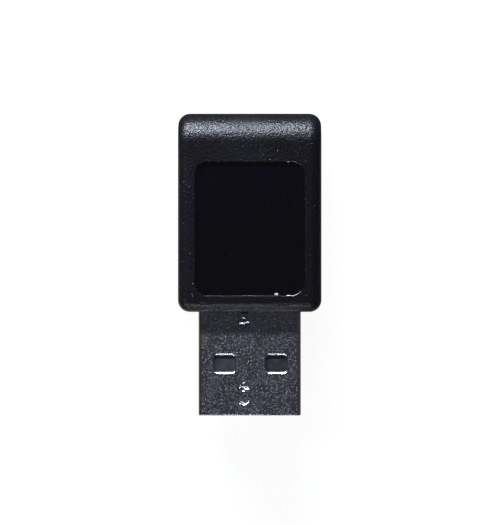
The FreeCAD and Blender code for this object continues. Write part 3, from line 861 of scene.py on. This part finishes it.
def shellTree():
    tree = ShapeTree("cutSheet", {
        "legs": "NodeSocketObject",
        "window": "NodeSocketObject",
        "windowSpacing": "NodeSocketFloat",
        "windowX": "NodeSocketFloat",
        "windowY": "NodeSocketFloat",
        "plugHeight": "NodeSocketFloat",
        "middleZ": "NodeSocketFloat",
        "punch": "NodeSocketObject",
        "firstPunch": "NodeSocketVector",
        "lastPunch": "NodeSocketVector",
        "seam": "NodeSocketObject",
        "finish": "NodeSocketMaterial",
    })

    def objectShape(key):
        return tree.add("GeometryNodeObjectInfo", None, {"Object": tree.value(key)}, "Geometry")

    gridValues = {"Size X": tree.value("windowSpacing"), "Size Y": tree.value("plugHeight"),
                  "Vertices X": 2, "Vertices Y": 2}
    corners = tree.add("GeometryNodeMeshGrid", None, gridValues)
    middle = {"X": tree.value("windowX"), "Y": tree.value("windowY"), "Z": tree.value("middleZ")}
    upright = {"Geometry": corners, "Rotation": (math.pi / 2, 0.0, 0.0),
               "Translation": tree.add("ShaderNodeCombineXYZ", None, middle)}
    corners = tree.add("GeometryNodeTransform", None, upright)
    height = tree.axes(tree.add("GeometryNodeInputPosition"), "Z")[0]
    flipped = height.below(tree.value("middleZ")) * math.pi
    turn = tree.add("ShaderNodeCombineXYZ", None, {"Y": flipped})
    windowValues = {"Points": corners, "Instance": objectShape("window"), "Rotation": turn}
    windows = tree.add("GeometryNodeInstanceOnPoints", None, windowValues)
    lineValues = {"Count": 2, "Start Location": tree.value("firstPunch"), "Offset": tree.value("lastPunch")}
    punchLine = tree.add("GeometryNodeMeshLine", {"mode": "END_POINTS"}, lineValues)
    punchValues = {"Points": punchLine, "Instance": objectShape("punch")}
    punches = tree.add("GeometryNodeInstanceOnPoints", None, punchValues)
    sheet = tree.put("GeometryNodeMeshBoolean", {"operation": "UNION", "solver": "EXACT"},
                     {"Self Intersection": True})
    tree.tree.links.new(tree.value("Geometry").socket, sheet.inputs["Mesh 2"])
    tree.tree.links.new(objectShape("legs").socket, sheet.inputs["Mesh 2"])
    cut = Wire(tree, sheet.outputs["Mesh"])
    for cutter in (windows, objectShape("seam"), punches):
        solid = tree.add("GeometryNodeRealizeInstances", None, {"Geometry": cutter})
        step = tree.put("GeometryNodeMeshBoolean", {"operation": "DIFFERENCE", "solver": "EXACT"},
                        {"Mesh 1": cut, "Self Intersection": True})
        tree.tree.links.new(solid.socket, step.inputs["Mesh 2"])
        cut = Wire(tree, step.outputs["Mesh"])
    whole = tree.add("GeometryNodeRealizeInstances", None, {"Geometry": cut})
    finishValues = {"Geometry": whole, "Material": tree.value("finish")}
    tree.finish(tree.add("GeometryNodeSetMaterial", None, finishValues))
    return tree


def foldedShell():
    halfWidth = (shellHigh.x - shellLow.x) / 2
    halfHeight = (shellHigh.z - shellLow.z) / 2
    middleZ = (shellHigh.z + shellLow.z) / 2
    tipY = shellLow.y
    rearY = shellHigh.y - sheetShape["legLength"]
    legs = newPiece("solderLegs", solderLeg(-1, rearY, middleZ, halfWidth))
    secondLeg = solderLeg(1, rearY, middleZ, halfWidth)
    both = bmesh.new()
    both.from_mesh(legs.data)
    both.from_mesh(secondLeg)
    both.to_mesh(legs.data)
    both.free()
    cutters = {
        "window": newPiece("windowCutter", windowCutter()),
        "punch": newPiece("punchCutter", punchCutter()),
        "seam": newPiece("seamCutter", seamCutter(tipY, rearY, shellHigh.z)),
    }
    punchPlaces = [Vector((sheetShape["punchX"], y, shellHigh.z)) * mm for y in sheetShape["punchYs"]]
    values = {
        "legs": legs,
        "windowSpacing": 2 * sheetShape["windowOffset"] * mm,
        "windowX": sheetShape["windowMiddle"] * mm,
        "windowY": (tipY + sheetShape["windowFromTip"]) * mm,
        "plugHeight": 2 * halfHeight * mm,
        "middleZ": middleZ * mm,
        "firstPunch": punchPlaces[0],
        "lastPunch": punchPlaces[1],
        "finish": steel,
    }
    values.update(cutters)
    tube = sheetTube(tipY, rearY, middleZ, halfWidth, halfHeight)
    shell = shellTree().make("folded_plug_shell", values, tube)
    for spare in [legs] + list(cutters.values()):
        bpy.data.objects.remove(spare)
    return evenShading(shell)


plugShell = foldedShell()
standFor(plugShell, "plug_shell", "shell_steel", steel)
print("casing rolled, plug folded and cut:", len(plugShell.data.polygons), "faces")


# Antenna: a round wire on a helix, whose two legs lie on and under the board
spring = {
    "turns": 4.5,
    "pitch": 1.15,
    "coilRadius": 0.75,
    "wireRadius": 0.25,
    "legLength": 2.5,
    "stepsPerTurn": 28,
    "wireSides": 14,
}


def springTree():
    tree = ShapeTree("wireSpring", {
        "turns": "NodeSocketFloat",
        "pitch": "NodeSocketFloat",
        "coilRadius": "NodeSocketFloat",
        "wireRadius": "NodeSocketFloat",
        "legLength": "NodeSocketFloat",
        "stepsPerTurn": "NodeSocketInt",
        "wireSides": "NodeSocketInt",
        "middle": "NodeSocketVector",
        "finish": "NodeSocketMaterial",
    })
    turns = tree.value("turns")
    steps = tree.value("stepsPerTurn")
    coilSteps = turns * steps
    line = tree.add("GeometryNodeMeshLine", None, {"Count": coilSteps + 3})
    index = tree.add("GeometryNodeInputIndex")
    along = (index - 1).highest(0.0).lowest(coilSteps)
    angle = along / steps * (2 * math.pi)
    atEnd = index.below(0.5).highest(index.above(coilSteps + 1.5))
    radius = tree.value("coilRadius")
    x = (turns / 2 - along / steps) * tree.value("pitch")
    y = angle.work("SINE", angle) * radius - atEnd * tree.value("legLength")
    z = angle.work("COSINE", angle) * radius
    place = tree.add("ShaderNodeCombineXYZ", None, {"X": x, "Y": y, "Z": z})
    centred = {0: place, 1: tree.value("middle")}
    place = tree.add("ShaderNodeVectorMath", {"operation": "ADD"}, centred)
    line = tree.add("GeometryNodeSetPosition", None, {"Geometry": line, "Position": place})
    curve = tree.add("GeometryNodeMeshToCurve", None, {"Mesh": line})
    ringValues = {"Resolution": tree.value("wireSides"), "Radius": tree.value("wireRadius")}
    ring = tree.add("GeometryNodeCurvePrimitiveCircle", None, ringValues)
    tubeValues = {"Curve": curve, "Profile Curve": ring, "Fill Caps": True}
    tube = tree.add("GeometryNodeCurveToMesh", None, tubeValues)
    tube = tree.add("GeometryNodeRealizeInstances", None, {"Geometry": tube})
    finishValues = {"Geometry": tube, "Material": tree.value("finish")}
    tree.finish(tree.add("GeometryNodeSetMaterial", None, finishValues))
    return tree


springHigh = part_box("antenna_spring")[1]
boardLow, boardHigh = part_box("circuit_board")
springMiddle = Vector((0.0, springHigh.y - (spring["coilRadius"] + spring["wireRadius"]) * mm,
                       (boardLow.z + boardHigh.z) / 2))
springValues = {key: spring[key] * mm for key in ("pitch", "coilRadius", "wireRadius", "legLength")}
springValues.update({key: spring[key] for key in ("turns", "stepsPerTurn", "wireSides")})
springValues.update({"middle": springMiddle, "finish": springWire})
wireSpring = springTree().make("wire_spring", springValues)
for face in wireSpring.data.polygons:
    face.use_smooth = len(face.vertices) == 4
standFor(wireSpring, "antenna_spring", "antenna_wire", springWire)
print("spring wound:", len(wireSpring.data.polygons), "faces")


# Floor, world, lamps and camera
studio = {
    "floorZ": -0.02,
    "floorReach": 3.0,
    "floorGlow": 0.93,
    "mirroredGlow": 0.060,
    "besideGlow": 0.55,
    "rightShare": 0.45,
    "besideAcross": (13.0, 18.0),
    "besideFar": (13.0, 17.0),
    "besideNear": (-28.0, -23.0),
    "farOff": (60.0, 220.0),
    "farOffGlow": 0.1,
    "floorColour": colour(0.80, 0.80, 0.80),
    "shadeColour": colour(0.16, 0.16, 0.16),
    "zenith": 0.028,
    "leftHorizon": 0.016,
    "rightHorizon": 0.078,
    "horizonSpan": (-0.8, 0.8),
    "skyBand": (0.30, 0.78),
    "airColour": colour(1.0, 0.95, 1.30),
    "lampColour": (0.93, 1.0, 1.14),
    "farPower": 0.77,
    "farLampAt": (-65.0, 160.0, 86.5),
    "nearPower": 0.112,
    "nearLampAt": (-65.0, -147.0, 88.0),
    "lampLength": 190.0,
    "lampHeight": 9.5,
    "cameraDistance": 400.0,
    "pixelsPerMm": 8.485,
    "frameHeight": 525.0,
    "sensor": 36.0,
    "aimAt": (0.04, 0.21, 4.0),
}


def rayKinds(shader, names):
    total = shader.add("ShaderNodeLightPath", output=names[0])
    for name in names[1:]:
        total = total.highest(shader.add("ShaderNodeLightPath", output=name))
    return total


def paleFloor():
    material, shader = newMaterial("paleFloor")
    matte = shader.add("ShaderNodeBsdfDiffuse", None, {"Color": studio["floorColour"]})
    shade = shader.add("ShaderNodeBsdfDiffuse", None, {"Color": studio["shadeColour"]})
    x, y = shader.axes(shader.spot(), "XY")
    farOff = ((x * x + y * y) ** 0.5).ramp(*studio["farOff"])
    glowValues = {"Strength": studio["floorGlow"] + farOff * studio["farOffGlow"]}
    glow = shader.add("ShaderNodeEmission", None, glowValues)
    # in metal the floor is pale close beside the object alone, and less so on the right
    beside = 1 - abs(x).ramp(*studio["besideAcross"])
    beside = beside * (1 - y.ramp(*studio["besideFar"])) * y.ramp(*studio["besideNear"])
    beside = beside * (1 - x.above(0.0) * (1 - studio["rightShare"]))
    glowInMetal = beside * (studio["besideGlow"] - studio["mirroredGlow"]) + studio["mirroredGlow"]
    mirrored = shader.add("ShaderNodeEmission", None, {"Strength": glowInMetal})
    seen = shader.add("ShaderNodeAddShader", None, {0: shade, 1: glow})
    direct = rayKinds(shader, ("Is Camera Ray", "Is Transmission Ray"))
    surface = shader.add("ShaderNodeMixShader", None, {0: direct, 1: matte, 2: seen})
    inMetal = rayKinds(shader, ("Is Glossy Ray",))
    surface = shader.add("ShaderNodeMixShader", None, {0: inMetal, 1: surface, 2: mirrored})
    shader.put("ShaderNodeOutputMaterial", None, {"Surface": surface})
    return material


def studioFloor():
    reach = studio["floorReach"]
    height = studio["floorZ"] * mm
    mesh = bpy.data.meshes.new("studio_floor")
    corners = [(x * reach, y * reach, height) for x, y in ((-1, -1), (1, -1), (1, 1), (-1, 1))]
    mesh.from_pydata(corners, [], [(0, 1, 2, 3)])
    mesh.materials.append(paleFloor())
    newPiece("studio_floor", mesh)


def studioWorld():
    world = bpy.data.worlds.new("studioWorld")
    bpy.context.scene.world = world
    world.use_nodes = True
    shader = Shader(world.node_tree)
    x, z = shader.axes(shader.add("ShaderNodeTexCoord", output="Generated"), "XZ")
    low = 1 - z.ramp(*studio["skyBand"])
    toTheRight = x.ramp(*studio["horizonSpan"])
    horizon = toTheRight * (studio["rightHorizon"] - studio["leftHorizon"]) + studio["leftHorizon"]
    level = studio["zenith"] + low * (horizon - studio["zenith"])
    air = shader.add("ShaderNodeBackground", None, {"Color": studio["airColour"], "Strength": level})
    backdrop = shader.add("ShaderNodeBackground", None, {"Color": colour(1.0, 1.0, 1.0)})
    seen = rayKinds(shader, ("Is Camera Ray", "Is Transmission Ray"))
    light = shader.add("ShaderNodeMixShader", None, {0: seen, 1: air, 2: backdrop})
    shader.put("ShaderNodeOutputWorld", None, {"Surface": light})


def stripLamp(name, power, at):
    # a long lamp along X, turned about its own length to face the object
    lamp = bpy.data.lights.new(name, "AREA")
    lamp.shape = "RECTANGLE"
    lamp.size = studio["lampLength"] * mm
    lamp.size_y = studio["lampHeight"] * mm
    lamp.energy = power
    lamp.color = studio["lampColour"]
    holder = newPiece(name, lamp)
    holder.visible_camera = False
    holder.location = Vector(at) * mm
    holder.rotation_euler = (-math.atan2(at[1], at[2]), 0.0, 0.0)


def overheadCamera():
    lens = bpy.data.cameras.new("overheadCamera")
    viewHeight = studio["frameHeight"] / studio["pixelsPerMm"]
    lens.sensor_width = studio["sensor"]
    lens.lens = studio["sensor"] * studio["cameraDistance"] / viewHeight
    lens.clip_start = 0.01
    lens.clip_end = 20.0
    camera = newPiece("overheadCamera", lens)
    camera.location = (Vector(studio["aimAt"]) + Vector((0.0, 0.0, studio["cameraDistance"]))) * mm
    bpy.context.scene.camera = camera


studioFloor()
studioWorld()
stripLamp("farStrip", studio["farPower"], studio["farLampAt"])
stripLamp("nearStrip", studio["nearPower"], studio["nearLampAt"])
overheadCamera()
bpy.context.scene.view_settings.view_transform = "Standard"
print("studio set")
